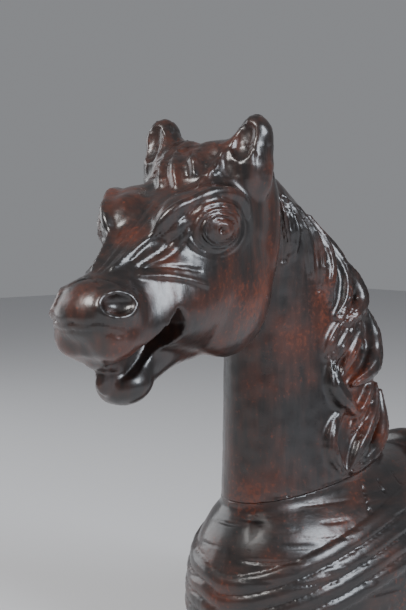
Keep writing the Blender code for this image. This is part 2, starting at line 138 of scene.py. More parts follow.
BRAID_LOCKS = (
    (((54, 0.270), (48, 0.258), (42, 0.247), (34, 0.238), (19, 0.231), (6, 0.227)), 0.0035,
     (0.0020, 0.0068, 0.0074, 0.0058, 0.0020)),
    (((17, 0.233), (5, 0.225), (-4, 0.215), (-8, 0.205)), 0.0010, (0.0012, 0.0034, 0.0034, 0.0012)),
    (((27, 0.232), (13, 0.222), (2, 0.211), (-6, 0.200)), 0.0020, (0.0015, 0.0042, 0.0042, 0.0014)),
    (((35, 0.232), (21, 0.219), (9, 0.206), (0, 0.192)), 0.0030, (0.0015, 0.0050, 0.0050, 0.0015)),
    (((46, 0.238), (46, 0.222), (41, 0.205), (26, 0.193), (7, 0.186)), 0.0035,
     (0.0020, 0.0066, 0.0074, 0.0020)),
    (((-5, 0.202), (-5, 0.188), (1, 0.177), (12, 0.167)), 0.0025, (0.0020, 0.0062, 0.0066, 0.0020)),
    (((38, 0.192), (28, 0.179), (16, 0.167), (7, 0.156)), 0.0020, (0.0015, 0.0044, 0.0044, 0.0014)),
    (((43, 0.184), (33, 0.168), (19, 0.154), (8, 0.141), (2, 0.130)), 0.0030,
     (0.0020, 0.0056, 0.0056, 0.0012)),
    (((54, 0.178), (46, 0.160), (33, 0.146), (16, 0.136), (3, 0.129)), 0.0030,
     (0.0030, 0.0068, 0.0066, 0.0012)),
    (((1, 0.171), (-7, 0.160), (-10, 0.149), (-7, 0.138), (-1, 0.130)), 0.0010,
     (0.0015, 0.0044, 0.0050, 0.0012)),
)

# Forelock: locks between the ears, in the head's frame
FORELOCKS = (
    ((0.0030, 0.0650, 0.3350), (0.0080, 0.0745, 0.3270), (0.0140, 0.0820, 0.3175)),
    ((0.0215, 0.0635, 0.3335), (0.0215, 0.0735, 0.3240), (0.0190, 0.0830, 0.3150)),
    ((-0.0080, 0.0665, 0.3345), (-0.0015, 0.0790, 0.3230), (0.0060, 0.0895, 0.3110)),
    ((-0.0170, 0.0660, 0.3320), (-0.0110, 0.0790, 0.3215), (-0.0050, 0.0890, 0.3115)),
)

# Collar: upright spacing of its rolls, how far they stand out, and its upper edge
ROLL_PITCH = 0.0105
ROLL_COUNT = 4
ROLL_HEIGHT = 0.0024
COLLAR_LOW = 0.0703
COLLAR_RISE = 0.42
COLLAR_SAG = 0.71
COLLAR_FRONT = -0.064
COLLAR_REAR = 0.118
COLLAR_REAR_FADE = 0.02
COLLAR_TOP = 0.130
COLLAR_STEP = 0.006
COLLAR_STEP_START = 0.012
COLLAR_STEP_WIDTH = 0.024


def head_frame():
    """Matrix from the head's own frame to the world."""
    turn = Matrix.Rotation(HEAD_TURN, 4, "Z")
    facing = Matrix.Diagonal(Vector((1.0, -1.0, 1.0, 1.0)))
    return Matrix.Translation(POLL_AXIS) @ turn @ facing


HEAD = head_frame()


def superellipse(angle, power):
    """Point at an angle on a unit superellipse."""
    c, s = math.cos(angle), math.sin(angle)
    return (math.copysign(abs(c) ** (2.0 / power), c), math.copysign(abs(s) ** (2.0 / power), s))


def smooth_path(points, steps):
    """Catmull-Rom curve through the points, evenly parted between each two."""
    pts = [Vector(p) for p in points]
    pts = [2.0 * pts[0] - pts[1]] + pts + [2.0 * pts[-1] - pts[-2]]
    path = []
    for a, b, c, d in zip(pts, pts[1:], pts[2:], pts[3:]):
        for i in range(steps):
            t = i / steps
            path.append(0.5 * (2.0 * b + (c - a) * t + (2.0 * a - 5.0 * b + 4.0 * c - d) * t ** 2
                               + (3.0 * b - a - 3.0 * c + d) * t ** 3))
    path.append(pts[-2])
    return path


def fill_rings(rings, steps=5):
    """Adds rings between the named ones, along smooth curves."""
    return [tuple(ring) for ring in smooth_path(rings, steps)]


def patch_frame(centre, normal):
    """Frame on the left of the head: x forwards along the skin, y up along it, z out of it."""
    out = normal.normalized()
    up = (Vector((0.0, 0.0, 1.0)) - out * out.z).normalized()
    ahead = up.cross(out)
    if ahead.y < 0.0:
        ahead.negate()
    axes = Matrix((ahead, up, out)).transposed().to_4x4()
    return Matrix.Translation(centre) @ axes


def mirrored(points):
    """The same places on the right of the head."""
    return [Vector((-p[0], p[1], p[2])) for p in points]


def loft(bm, rings):
    """Skins a row of rings with equal point counts and caps both ends."""
    loops = [[bm.verts.new(point) for point in ring] for ring in rings]
    count = len(loops[0])
    for lower, upper in zip(loops, loops[1:]):
        for i in range(count):
            j = (i + 1) % count
            bm.faces.new((lower[i], lower[j], upper[j], upper[i]))
    bm.faces.new(list(reversed(loops[0])))
    bm.faces.new(loops[-1])


def level_ring(height, front, back, half_width, power=2.1, steps=48):
    """Level ring of the neck or chest."""
    middle, half_length = (front + back) / 2.0, (back - front) / 2.0
    ring = []
    for i in range(steps):
        x, y = superellipse(2.0 * math.pi * i / steps, power)
        ring.append(Vector((half_width * x, middle + half_length * y, height)))
    return ring


def face_ring(forward, bottom, top, half_width, narrowing, power=2.35, steps=40):
    """Upright ring across the head, in world places."""
    middle, half_height = (bottom + top) / 2.0, (top - bottom) / 2.0
    ring = []
    for i in range(steps):
        side, rise = superellipse(-2.0 * math.pi * i / steps, power)
        lateral = half_width * side * (1.0 - narrowing * rise)
        ring.append(HEAD @ Vector((lateral, forward, middle + half_height * rise)))
    return ring


def ball(bm, centre, radii, frame=HEAD, pitch=0.0, yaw=0.0, roll=0.0):
    """Adds an ellipsoid; pitch tips its front up, yaw turns it to the left."""
    turn = (Matrix.Rotation(math.radians(-yaw), 4, "Z") @ Matrix.Rotation(math.radians(pitch), 4, "X")
            @ Matrix.Rotation(math.radians(roll), 4, "Y"))
    size = Matrix.Diagonal(Vector((*radii, 1.0)))
    bmesh.ops.create_uvsphere(bm, u_segments=40, v_segments=24, radius=1.0,
                              matrix=frame @ Matrix.Translation(Vector(centre)) @ turn @ size)


def pair(bm, centre, radii, pitch=0.0, yaw=0.0, roll=0.0):
    """Adds an ellipsoid on each side of the head."""
    l, f, z = centre
    ball(bm, (l, f, z), radii, pitch=pitch, yaw=yaw, roll=roll)
    ball(bm, (-l, f, z), radii, pitch=pitch, yaw=-yaw, roll=-roll)


def strand(bm, path, radii, flatness=1.0, sides=16):
    """Adds a bar along a path of world places, with its radii spread along it."""
    last = len(path) - 1
    spots = np.linspace(0.0, 1.0, len(radii))
    rings = []
    for i, point in enumerate(path):
        ahead = path[min(i + 1, last)] - path[max(i - 1, 0)]
        turn = ahead.to_track_quat("Z", "X")
        radius = float(np.interp(i / last, spots, radii))
        ring = []
        for k in range(sides):
            angle = 2.0 * math.pi * k / sides
            offset = Vector((radius * math.cos(angle), radius * flatness * math.sin(angle), 0.0))
            ring.append(point + turn @ offset)
        rings.append(ring)
    loft(bm, rings)


def head_strand(bm, points, radii, flatness=1.0, both=True, skin=None, lift=0.0):
    """Adds a bar along places in the head's frame, laid on a skin where one is given."""
    for side in ((points, mirrored(points)) if both else (points,)):
        path = [HEAD @ p for p in smooth_path(side, 6)]
        if skin is not None:
            nearest = [skin.find_nearest(p) for p in path]
            path = [place + normal * lift for place, normal, _, _ in nearest]
        strand(bm, path, radii, flatness)


def arc_places(frame, centre, half_length, half_height, start, end, steps=20):
    """Places on an elliptical arc in a patch frame; angles in degrees, 0 ahead and 90 up."""
    places = []
    for i in range(steps + 1):
        angle = math.radians(start + (end - start) * i / steps)
        places.append(frame @ Vector((centre[0] + half_length * math.cos(angle),
                                      centre[1] + half_height * math.sin(angle), 0.0)))
    return places


def neck_skin(angle, height, lift):
    """Place on the neck's skin at an angle from the left side, lifted off it."""
    rings = np.array(fill_rings(NECK_RINGS))
    front, back, half_width = (float(np.interp(height, rings[:, 0], rings[:, k])) for k in (1, 2, 3))
    x, y = superellipse(math.radians(angle), 2.1)
    half_length = (back - front) / 2.0
    return Vector(((half_width + lift) * x, (front + back) / 2.0 + (half_length + lift) * y, height))


def lock(bm, places, lift, radii):
    """Adds a lock of hair that lies on the neck's skin."""
    strand(bm, smooth_path([neck_skin(angle, height, lift) for angle, height in places], 6), radii)


def add_chest(bm):
    """Chest and shoulders down to below the floor, where the bust is cut."""
    loft(bm, [level_ring(*ring, power=2.2) for ring in fill_rings(CHEST_RINGS)])


def add_neck(bm):
    """Neck from inside the chest up to the poll."""
    loft(bm, [level_ring(*ring) for ring in fill_rings(NECK_RINGS)])


def add_skull(bm):
    """Skull, brows, cheeks and the long loft of the face."""
    loft(bm, [face_ring(*ring) for ring in fill_rings(FACE_RINGS)])
    ball(bm, (0.0, 0.052, 0.294), (0.0390, 0.040, 0.043))
    pair(bm, (0.0215, 0.0790, 0.2880), (0.0205, 0.0380, 0.0250), pitch=-12.0)
    pair(bm, (0.0250, 0.0850, 0.2965), (0.0185, 0.0270, 0.0175), pitch=-12.0)
    pair(bm, (0.0190, 0.1050, 0.2960), (0.0125, 0.0200, 0.0110), pitch=-35.0)
    pair(bm, (0.0205, 0.0625, 0.2580), (0.0195, 0.0470, 0.0455))
    pair(bm, (0.0180, 0.1120, 0.2645), (0.0150, 0.0330, 0.0130), pitch=-10.0, yaw=-16.0)
    pair(bm, (0.0240, 0.0300, 0.2900), (0.0135, 0.0160, 0.0450))


def add_muzzle(bm):
    """Upper lip and nose, swollen at the end of the face."""
    ball(bm, (0.0, 0.1530, 0.2455), (0.0270, 0.0245, 0.0195), pitch=-14.0)
    pair(bm, (0.0110, 0.1530, 0.2330), (0.0150, 0.0180, 0.0140), pitch=-20.0)
    ball(bm, (0.0, 0.1480, 0.2260), (0.0200, 0.0150, 0.0130), pitch=-35.0)
    pair(bm, (0.0165, 0.1350, 0.2400), (0.0100, 0.0220, 0.0140), pitch=-35.0, yaw=-8.0)


def add_jaw(bm):
    """Lower jaw and the round chin, under the mouth."""
    jaw = [(0.0, 0.078, 0.2340), (0.0, 0.100, 0.2260), (0.0, 0.120, 0.2150), (0.0, 0.135, 0.2055)]
    head_strand(bm, jaw, (0.0240, 0.0190, 0.0155, 0.0120), both=False)
    ball(bm, (0.0, 0.1310, 0.2045), (0.0170, 0.0168, 0.0125), pitch=-20.0)


def add_ears(bm):
    """Short, blunt ears that rise from the corners of the poll."""
    pair(bm, (0.0270, 0.0490, 0.3210), (0.0170, 0.0170, 0.0260), roll=8.0)
    pair(bm, (0.0325, 0.0470, 0.3390), (0.0118, 0.0115, 0.0170), roll=6.0)
    pair(bm, (0.0140, 0.0530, 0.3250), (0.0200, 0.0165, 0.0155), roll=22.0)


def add_saddle_front(bm):
    """Front edge of the saddle, a low arch across the back behind the withers."""
    arch = [(-0.054, 0.136, 0.088), (-0.036, 0.133, 0.118), (0.0, 0.131, 0.1315), (0.036, 0.133, 0.118),
            (0.054, 0.136, 0.088)]
    strand(bm, smooth_path(arch, 8), (0.006, 0.009, 0.010, 0.009, 0.006))


def add_brow_and_eyes(bm, skin):
    """Brow ridges, eyeballs and the lids round them."""
    ridge_radii = (0.0010, 0.0026, 0.0032, 0.0034, 0.0036, 0.0036, 0.0034, 0.0016)
    head_strand(bm, BROW_RIDGE, ridge_radii, skin=skin, lift=0.0010)
    frame = patch_frame(EYE_CENTRE, EYE_NORMAL)
    l, f, z = frame @ Vector((0.0005, -0.0025, -0.0035))
    yaw = math.degrees(math.atan2(EYE_NORMAL.x, EYE_NORMAL.y))
    pair(bm, (l, f, z), (0.0090, 0.0070, 0.0068), yaw=yaw)
    lids = arc_places(frame, (0.0, -0.0025), 0.0118, 0.0088, 0.0, 360.0)
    head_strand(bm, lids, (0.0017, 0.0017), skin=skin, lift=0.0005)
    fold = arc_places(frame, (-0.0005, -0.0010), 0.0160, 0.0130, -30.0, 215.0)
    head_strand(bm, fold, (0.0008, 0.0017, 0.0017, 0.0017, 0.0008), skin=skin, lift=0.0003)


def add_nostril_rims(bm, skin):
    """Raised rims of the nostrils."""
    frame = patch_frame(NOSTRIL_CENTRE, NOSTRIL_NORMAL)
    rim = arc_places(frame, (0.0, 0.0), 0.0118, 0.0080, 0.0, 360.0)
    head_strand(bm, rim, (0.0016, 0.0016), skin=skin)


def add_hair(bm, skin):
    """Forelock, mane and braid."""
    for places in FORELOCKS:
        head_strand(bm, places, (0.0016, 0.0030, 0.0016), both=False, skin=skin, lift=0.0005)
    for places, lift, radii in MANE_LOCKS + BRAID_LOCKS:
        lock(bm, places, lift, radii)


def add_tongue(bm):
    """Tongue and the lining of the lower lip, in the lower half of the open mouth."""
    tongue = [(0.0, 0.112, 0.2330), (0.0, 0.128, 0.2185), (0.0, 0.1440, 0.2095), (0.0, 0.1530, 0.2110)]
    head_strand(bm, tongue, (0.0140, 0.0150, 0.0125, 0.0070), flatness=0.48, both=False)


def mouth_cutter(bm, side):
    """Slot of the open mouth on one side, seen from the side as a curved band."""
    upper = [(0.0, 0.1245, 0.2475), (0.0, 0.1330, 0.2370), (0.0, 0.1430, 0.2280), (0.0, 0.1530, 0.2200),
             (0.0, 0.1640, 0.2120)]
    lower = [(0.0, 0.1180, 0.2380), (0.0, 0.1190, 0.2300), (0.0, 0.1250, 0.2200), (0.0, 0.1360, 0.2110),
             (0.0, 0.1520, 0.2030)]
    outline = smooth_path(lower, 4) + list(reversed(smooth_path(upper, 4)))
    inner, outer = 0.0070, 0.0500
    loft(bm, [[HEAD @ Vector((side * l, p.y, p.z)) for p in outline] for l in (inner, outer)])


def hollow_cutters(bm):
    """Cups of the nostrils and the ears' hollow fronts."""
    nostril = patch_frame(NOSTRIL_CENTRE, NOSTRIL_NORMAL)
    ear = patch_frame(EAR_CENTRE, EAR_NORMAL)
    swap = Matrix.Diagonal(Vector((-1.0, 1.0, 1.0, 1.0)))
    for side in (Matrix.Identity(4), swap):
        ball(bm, (0.0, 0.0, 0.0010), (0.0098, 0.0062, 0.0070), frame=HEAD @ side @ nostril)
        ball(bm, (0.0, 0.0, 0.0015), (0.0070, 0.0125, 0.0050), frame=HEAD @ side @ ear)


def build_masses(bm):
    """Large masses of the horse, still overlapping."""
    for add in (add_chest, add_neck, add_skull, add_muzzle, add_jaw, add_ears, add_saddle_front):
        add(bm)


def build_carving(bm, skin):
    """Raised carving that lies on the masses."""
    for add in (add_brow_and_eyes, add_nostril_rims, add_hair):
        add(bm, skin)


def mesh_from(build, name, *args):
    """Runs a building function into a new object."""
    bm = bmesh.new()
    build(bm, *args)
    bmesh.ops.recalc_face_normals(bm, faces=bm.faces)
    mesh = bpy.data.meshes.new(name)
    bm.to_mesh(mesh)
    bm.free()
    obj = bpy.data.objects.new(name, mesh)
    bpy.context.scene.collection.objects.link(obj)
    return obj


def bake(obj):
    """Applies an object's modifiers to its mesh."""
    graph = bpy.context.evaluated_depsgraph_get()
    mesh = bpy.data.meshes.new_from_object(obj.evaluated_get(graph), depsgraph=graph)
    obj.modifiers.clear()
    obj.data = mesh


def fuse(obj, voxel, smoothing):
    """Melts overlapping bodies into one skin with soft inner corners."""
    remesh = obj.modifiers.new("Fuse", "REMESH")
    remesh.mode = "VOXEL"
    remesh.voxel_size = voxel
    soften = obj.modifiers.new("Soften", "SMOOTH")
    soften.factor = 0.5
    soften.iterations = smoothing
    bake(obj)


def subtract(obj, cutter):
    """Cuts one body out of another."""
    cut = obj.modifiers.new("Cut", "BOOLEAN")
    cut.operation = "DIFFERENCE"
    cut.object = cutter
    bake(obj)
    bpy.data.objects.remove(cutter, do_unlink=True)


def join(base, other):
    """Joins the other mesh into the first object; their bodies still overlap."""
    bm = bmesh.new()
    bm.from_mesh(base.data)
    bm.from_mesh(other.data)
    bm.to_mesh(base.data)
    bm.free()
    bpy.data.objects.remove(other, do_unlink=True)


def smooth_step(value):
    """Eases a ramp between 0 and 1."""
    t = np.clip(value, 0.0, 1.0)
    return t * t * (3.0 - 2.0 * t)


def carve_collar(obj):
    """Presses the collar's rolls into the chest, running back and up to the saddle."""
    mesh = obj.data
    count = len(mesh.vertices)
    places, normals = np.empty(count * 3), np.empty(count * 3)
    mesh.vertices.foreach_get("co", places)
    mesh.vertices.foreach_get("normal", normals)
    places, normals = places.reshape(-1, 3), normals.reshape(-1, 3)
    x, y, z = places.T
    back = np.clip(y - COLLAR_FRONT, 0.0, None)
    step = COLLAR_STEP * smooth_step((COLLAR_STEP_START - x) / COLLAR_STEP_WIDTH)
    upper_edge = COLLAR_LOW + COLLAR_RISE * back - COLLAR_SAG * back ** 2 + step
    below = (upper_edge - z) / ROLL_PITCH
    across = 2.0 * np.abs(below - np.floor(below) - 0.5)
    rolls = ROLL_HEIGHT * np.sqrt(np.clip(1.0 - across ** 2, 0.0, 1.0))
    inside = (below > 0.0) & (below < ROLL_COUNT) & (z < COLLAR_TOP)
    fade = smooth_step((COLLAR_REAR - y) / COLLAR_REAR_FADE)
    places += normals * (rolls * inside * fade)[:, None]
    mesh.vertices.foreach_set("co", places.ravel())
    mesh.update()


def cut_flat(bm, point, normal):
    """Removes what lies past a plane and closes the cut with a flat face."""
    everything = bm.verts[:] + bm.edges[:] + bm.faces[:]
    bmesh.ops.bisect_plane(bm, geom=everything, dist=1e-6, plane_co=point, plane_no=normal, clear_outer=True)
    rim = [edge for edge in bm.edges if edge.is_boundary]
    cap = bmesh.ops.holes_fill(bm, edges=rim, sides=0)["faces"]
    bmesh.ops.triangulate(bm, faces=cap)


# Fine grooves of the face in the head's frame: places, half width, depth, negative where it stands out
FACE_LINES = (
    (((0.0190, 0.1410, 0.2650), (0.0315, 0.1220, 0.2630), (0.0365, 0.1050, 0.2580)), 0.0028, -0.0011),
    (((0.0170, 0.1400, 0.2700), (0.0290, 0.1230, 0.2690), (0.0350, 0.1080, 0.2660)), 0.0016, 0.0010),
    (((0.0280, 0.1090, 0.2910), (0.0230, 0.1220, 0.2800), (0.0160, 0.1380, 0.2700)), 0.0015, 0.0011),
    (((0.0300, 0.1090, 0.2860), (0.0260, 0.1220, 0.2750), (0.0190, 0.1360, 0.2690)), 0.0012, 0.0008),
    (((0.0260, 0.1110, 0.2960), (0.0200, 0.1230, 0.2860), (0.0120, 0.1400, 0.2720)), 0.0013, 0.0010),
    (((-0.0100, 0.1650, 0.2610), (0.0000, 0.1600, 0.2645), (0.0085, 0.1580, 0.2640), (0.0190, 0.1540, 0.2600),
      (0.0250, 0.1520, 0.2520)), 0.0015, 0.0009),
    (((-0.0010, 0.1760, 0.2410), (0.0090, 0.1750, 0.2400), (0.0150, 0.1710, 0.2415),
      (0.0230, 0.1620, 0.2390)), 0.0014, 0.0008),
    (((0.0000, 0.1755, 0.2360), (0.0090, 0.1745, 0.2355), (0.0160, 0.1690, 0.2365), (0.0220, 0.1630, 0.2340)),
     0.0012, 0.0007),
    (((0.0030, 0.1050, 0.3030), (0.0030, 0.1300, 0.2860), (0.0020, 0.1550, 0.2690)), 0.0018, 0.0007),
)

# Splits and slits below the braid, in the world: places, half width, depth
SPLITS = (
    (((0.041, 0.035, 0.120), (0.047, 0.031, 0.112), (0.053, 0.028, 0.105)), 0.0011, 0.0022),
    (((0.039, 0.052, 0.122), (0.047, 0.050, 0.114)), 0.0010, 0.0018),
    (((0.036, 0.071, 0.124), (0.043, 0.071, 0.117)), 0.0010, 0.0018),
)

# Eye: half sizes of its opening, its middle on the patch, and the rise of pupil, ball and rings
# at distances counted in half sizes
EYE_LENGTH = 0.0112
EYE_HEIGHT = 0.0082
EYE_MIDDLE = (0.0005, -0.0030)
EYE_DEPTH = 0.022
EYE_SPOTS = (0.0, 0.16, 0.24, 0.70, 0.88, 1.04, 1.22, 1.42, 1.58, 1.78, 2.0, 2.3)
EYE_RISES = (-0.0022, -0.0020, 0.0012, 0.0006, -0.0016, 0.0010,
             -0.0012, 0.0006, -0.0012, 0.0000, -0.0006, 0.0)

# Strand lines on each lock: their places across it, half width and depth, and the line they face away from
STRAND_SHARES = (-0.55, -0.15, 0.3, 0.65)
STRAND_WIDTH = 0.0013
STRAND_DEPTH = 0.0009
NECK_MIDDLE = 0.02

# Surface marks: patterns as waves per metre, then depths
POLL_HEIGHT = 0.318
CHEST_TOP = 0.125
CHEST_TOP_SLOPE = 0.17
PIT_TOP = 0.055
PIT_FADE = 0.015
FACET_SCALE = Vector((130.0, 130.0, 95.0))
WANDER_SCALE = 90.0
LUMP_SCALE = 120.0
GRAIN_SCALE = Vector((260.0, 260.0, 40.0))
LEVEL_SCALE = Vector((30.0, 30.0, 420.0))
PIT_SCALE = 330.0
FACET_DEPTH = 0.0005
POLL_LUMPS = 0.0005
POLL_GRAIN = 0.0002
BODY_LUMPS = 0.00018
BODY_GRAIN = 0.00014
FISSURE_START = 0.28
FISSURE_DEPTH = 0.00225
CHEST_LUMPS = 0.0002
PIT_DEPTH = 0.0011

# Wood colours, and the places of the left side where the wax is worn, with their reach
BLACK_WAX = (0.0085, 0.0060, 0.0055, 1.0)
DARK_BROWN = (0.038, 0.016, 0.011, 1.0)
RED_BROWN = (0.072, 0.0135, 0.0045, 1.0)
WORN_ORANGE = (0.19, 0.034, 0.0070, 1.0)
WORN_PLACES = (
    ((0.036, -0.100, 0.262), 0.030), ((0.040, -0.075, 0.245), 0.035), ((0.020, -0.150, 0.250), 0.020),
    ((0.038, 0.012, 0.240), 0.030), ((0.041, 0.030, 0.200), 0.022), ((0.042, 0.030, 0.165), 0.025),
    ((0.010, -0.050, 0.115), 0.022), ((0.030, -0.120, 0.275), 0.020), ((0.055, 0.060, 0.050), 0.040),
)

# Studio: soft square lights as name, place, side, power and colour, and the photograph's camera
LIGHTS = (
    ("key", (0.15, -1.1, 1.35), 0.6, 24.0, (1.0, 0.98, 0.96)),
    ("window", (1.3, 0.15, 0.9), 0.6, 20.0, (0.84, 0.91, 1.0)),
    ("fill", (-1.3, -0.5, 0.6), 1.0, 8.0, (0.95, 0.97, 1.0)),
)
LIGHT_AIM = (0.0, 0.0, 0.22)
FLOOR_SIZE = 6.0
FLOOR_COLOUR = (0.62, 0.62, 0.63, 1.0)
FLOOR_ROUGHNESS = 0.8
AIR_COLOUR = (0.42, 0.43, 0.45, 1.0)
AIR_STRENGTH = 0.6
CAMERA_PLACE = (0.5792, -0.5916, 0.301)
CAMERA_TURN = math.radians(48.0)
CAMERA_TIP = math.radians(4.41)
CAMERA_LENS = 75.0
CAMERA_SENSOR = 36.0


def distance_to(places, path, reach):
    """Distance from each vertex to a path, worked out only near it."""
    line = np.array([tuple(p) for p in path])
    low, high = line.min(axis=0) - reach, line.max(axis=0) + reach
    near = np.flatnonzero(((places > low) & (places < high)).all(axis=1))
    best = np.full(len(near), reach)
    for a, b in zip(line, line[1:]):
        run = b - a
        t = np.clip(((places[near] - a) @ run) / max(float(run @ run), 1e-12), 0.0, 1.0)
        best = np.minimum(best, np.linalg.norm(places[near] - a - t[:, None] * run, axis=1))
    return near, best


def stroke(depth, places, skin, path, width, cut):
    """Adds one groove, or a ridge where cut is negative, along a path laid on the skin."""
    laid = [skin.find_nearest(p)[0] for p in path]
    near, gap = distance_to(places, laid, width)
    depth[near] -= cut * (1.0 - smooth_step(gap / width))


def carve_faces(depth, places, skin):
    """Lines of the face on both sides."""
    for points, width, cut in FACE_LINES:
        for side in (points, mirrored(points)):
            stroke(depth, places, skin, [HEAD @ p for p in smooth_path(side, 5)], width, cut)


def carve_eyes(depth, places):
    """Eyeball, drilled pupil and the rings of the lids, as a profile round each eye."""
    for side in (1.0, -1.0):
        swap = Matrix.Diagonal(Vector((side, 1.0, 1.0, 1.0)))
        patch = np.array((HEAD @ swap @ patch_frame(EYE_CENTRE, EYE_NORMAL)).inverted())
        local = places @ patch[:3, :3].T + patch[:3, 3]
        u, v, w = local.T
        reach = np.hypot((u - EYE_MIDDLE[0]) / EYE_LENGTH, (v - EYE_MIDDLE[1]) / EYE_HEIGHT)
        shown = (np.abs(w) < EYE_DEPTH) & (reach < EYE_SPOTS[-1])
        depth += np.interp(reach, EYE_SPOTS, EYE_RISES) * shown


def carve_locks(depth, places, skin):
    """Fine strand lines along every lock of the mane and braid."""
    for lock_places, lift, radii in MANE_LOCKS + BRAID_LOCKS:
        path = smooth_path([neck_skin(angle, height, lift) for angle, height in lock_places], 4)
        wide = max(radii)
        for share in STRAND_SHARES:
            line = []
            for i, point in enumerate(path):
                ahead = (path[min(i + 1, len(path) - 1)] - path[max(i - 1, 0)]).normalized()
                out = Vector((point.x, point.y - NECK_MIDDLE, 0.0)).normalized()
                line.append(point + out * wide + ahead.cross(out) * wide * share)
            stroke(depth, places, skin, line, STRAND_WIDTH, STRAND_DEPTH)


def pattern(place, scale):
    """Noise at a place, stretched by a scale along each axis."""
    return noise.noise(Vector((place[0] * scale[0], place[1] * scale[1], place[2] * scale[2])))


def chisel_facet(x, y, z):
    """Step of a chisel facet at a place, from 0 to 1."""
    wander = noise.noise(Vector((y, z, x)) * WANDER_SCALE)
    return noise.cell(Vector((x * FACET_SCALE.x + wander, y * FACET_SCALE.y, z * FACET_SCALE.z)))


def surface_mark(x, y, z):
    """How far the surface stands out at a place: facets on the poll, fissures and pits on the chest."""
    place = Vector((x, y, z))
    lumps = noise.noise(place * LUMP_SCALE)
    grain = pattern(place, GRAIN_SCALE)
    if z > POLL_HEIGHT:
        return FACET_DEPTH * (chisel_facet(x, y, z) - 0.5) + POLL_LUMPS * lumps + POLL_GRAIN * grain
    if z > CHEST_TOP + CHEST_TOP_SLOPE * y:
        return BODY_LUMPS * lumps + BODY_GRAIN * grain
    fissure = FISSURE_DEPTH * max(0.0, pattern(place, LEVEL_SCALE) - FISSURE_START)
    mark = CHEST_LUMPS * lumps - fissure
    if z < PIT_TOP:
        rough = max(0.0, noise.noise(place * PIT_SCALE))
        mark -= PIT_DEPTH * rough * min(1.0, (PIT_TOP - z) / PIT_FADE)
    return mark


def carve_splits(depth, places, skin):
    """Long splits by the seam below the braid."""
    for points, width, cut in SPLITS:
        stroke(depth, places, skin, smooth_path(points, 5), width, cut)


def carve_details(obj):
    """Presses every fine line into the form along its normals."""
    mesh = obj.data
    count = len(mesh.vertices)
    places, normals = np.empty(count * 3), np.empty(count * 3)
    mesh.vertices.foreach_get("co", places)
    mesh.vertices.foreach_get("normal", normals)
    places, normals = places.reshape(-1, 3), normals.reshape(-1, 3)
    skin = BVHTree.FromObject(obj, bpy.context.evaluated_depsgraph_get())
    depth = np.zeros(count)
    carve_faces(depth, places, skin)
    carve_eyes(depth, places)
    carve_locks(depth, places, skin)
    carve_splits(depth, places, skin)
    depth += np.array([surface_mark(*place) for place in places])
    places = places + normals * depth[:, None]
    mesh.vertices.foreach_set("co", places.ravel())
    mesh.update()


class Socket:
    """A shader value that can be added, subtracted and multiplied like a number."""

    def __init__(self, tree, socket):
        self.tree = tree
        self.socket = socket

    def node(self, kind, settings=None, **inputs):
        """Adds a node, with its settings and what feeds its sockets."""
        made = self.tree.nodes.new(kind)
        for name, value in (settings or {}).items():
            setattr(made, name, value)
        for name, value in inputs.items():
            self.feed(made.inputs[name.replace("_", " ")], value)
        return made

    def feed(self, target, value):
        """Links a socket to an input, or sets the input to a constant."""
        if isinstance(value, Socket):
            self.tree.links.new(value.socket, target)
        else:
            target.default_value = value

    def maths(self, operation, first, second):
        """Adds a Math node on two values."""
        made = self.node("ShaderNodeMath", {"operation": operation})
        self.feed(made.inputs[0], first)
        self.feed(made.inputs[1], second)
        return Socket(self.tree, made.outputs[0])

    def __add__(self, other):
        return self.maths("ADD", self, other)

    def __sub__(self, other):
        return self.maths("SUBTRACT", self, other)

    def __mul__(self, other):
        return self.maths("MULTIPLY", self, other)

    def __rsub__(self, other):
        return self.maths("SUBTRACT", other, self)

    __radd__ = __add__
    __rmul__ = __mul__

    def ramp(self, low, high):
        """Smooth step from 0 at low to 1 at high."""
        made = self.node("ShaderNodeMapRange", {"interpolation_type": "SMOOTHSTEP"},
                         Value=self, From_Min=low, From_Max=high)
        return Socket(self.tree, made.outputs["Result"])

    def noise(self, scale, detail=4.0, stretch=(1.0, 1.0, 1.0)):
        """Noise on these coordinates."""
        mapping = self.node("ShaderNodeMapping", Vector=self, Scale=stretch)
        made = self.node("ShaderNodeTexNoise", Vector=Socket(self.tree, mapping.outputs[0]), Scale=scale,
                         Detail=detail)
        return Socket(self.tree, made.outputs[0])

    def near(self, place, radius):
        """1 close to a place, fading to 0 at the radius."""
        made = self.node("ShaderNodeVectorMath", {"operation": "DISTANCE"})
        self.feed(made.inputs[0], self)
        made.inputs[1].default_value = place
        return Socket(self.tree, made.outputs["Value"]).ramp(radius, radius * 0.3)

    def mix(self, first, second):
        """Colour between two colours, by this value; sockets 6 and 7 are the node's colours."""
        made = self.node("ShaderNodeMix", {"data_type": "RGBA"})
        self.feed(made.inputs["Factor"], self)
        for target, colour in ((made.inputs[6], first), (made.inputs[7], second)):
            self.feed(target, colour)
        return Socket(self.tree, made.outputs[2])


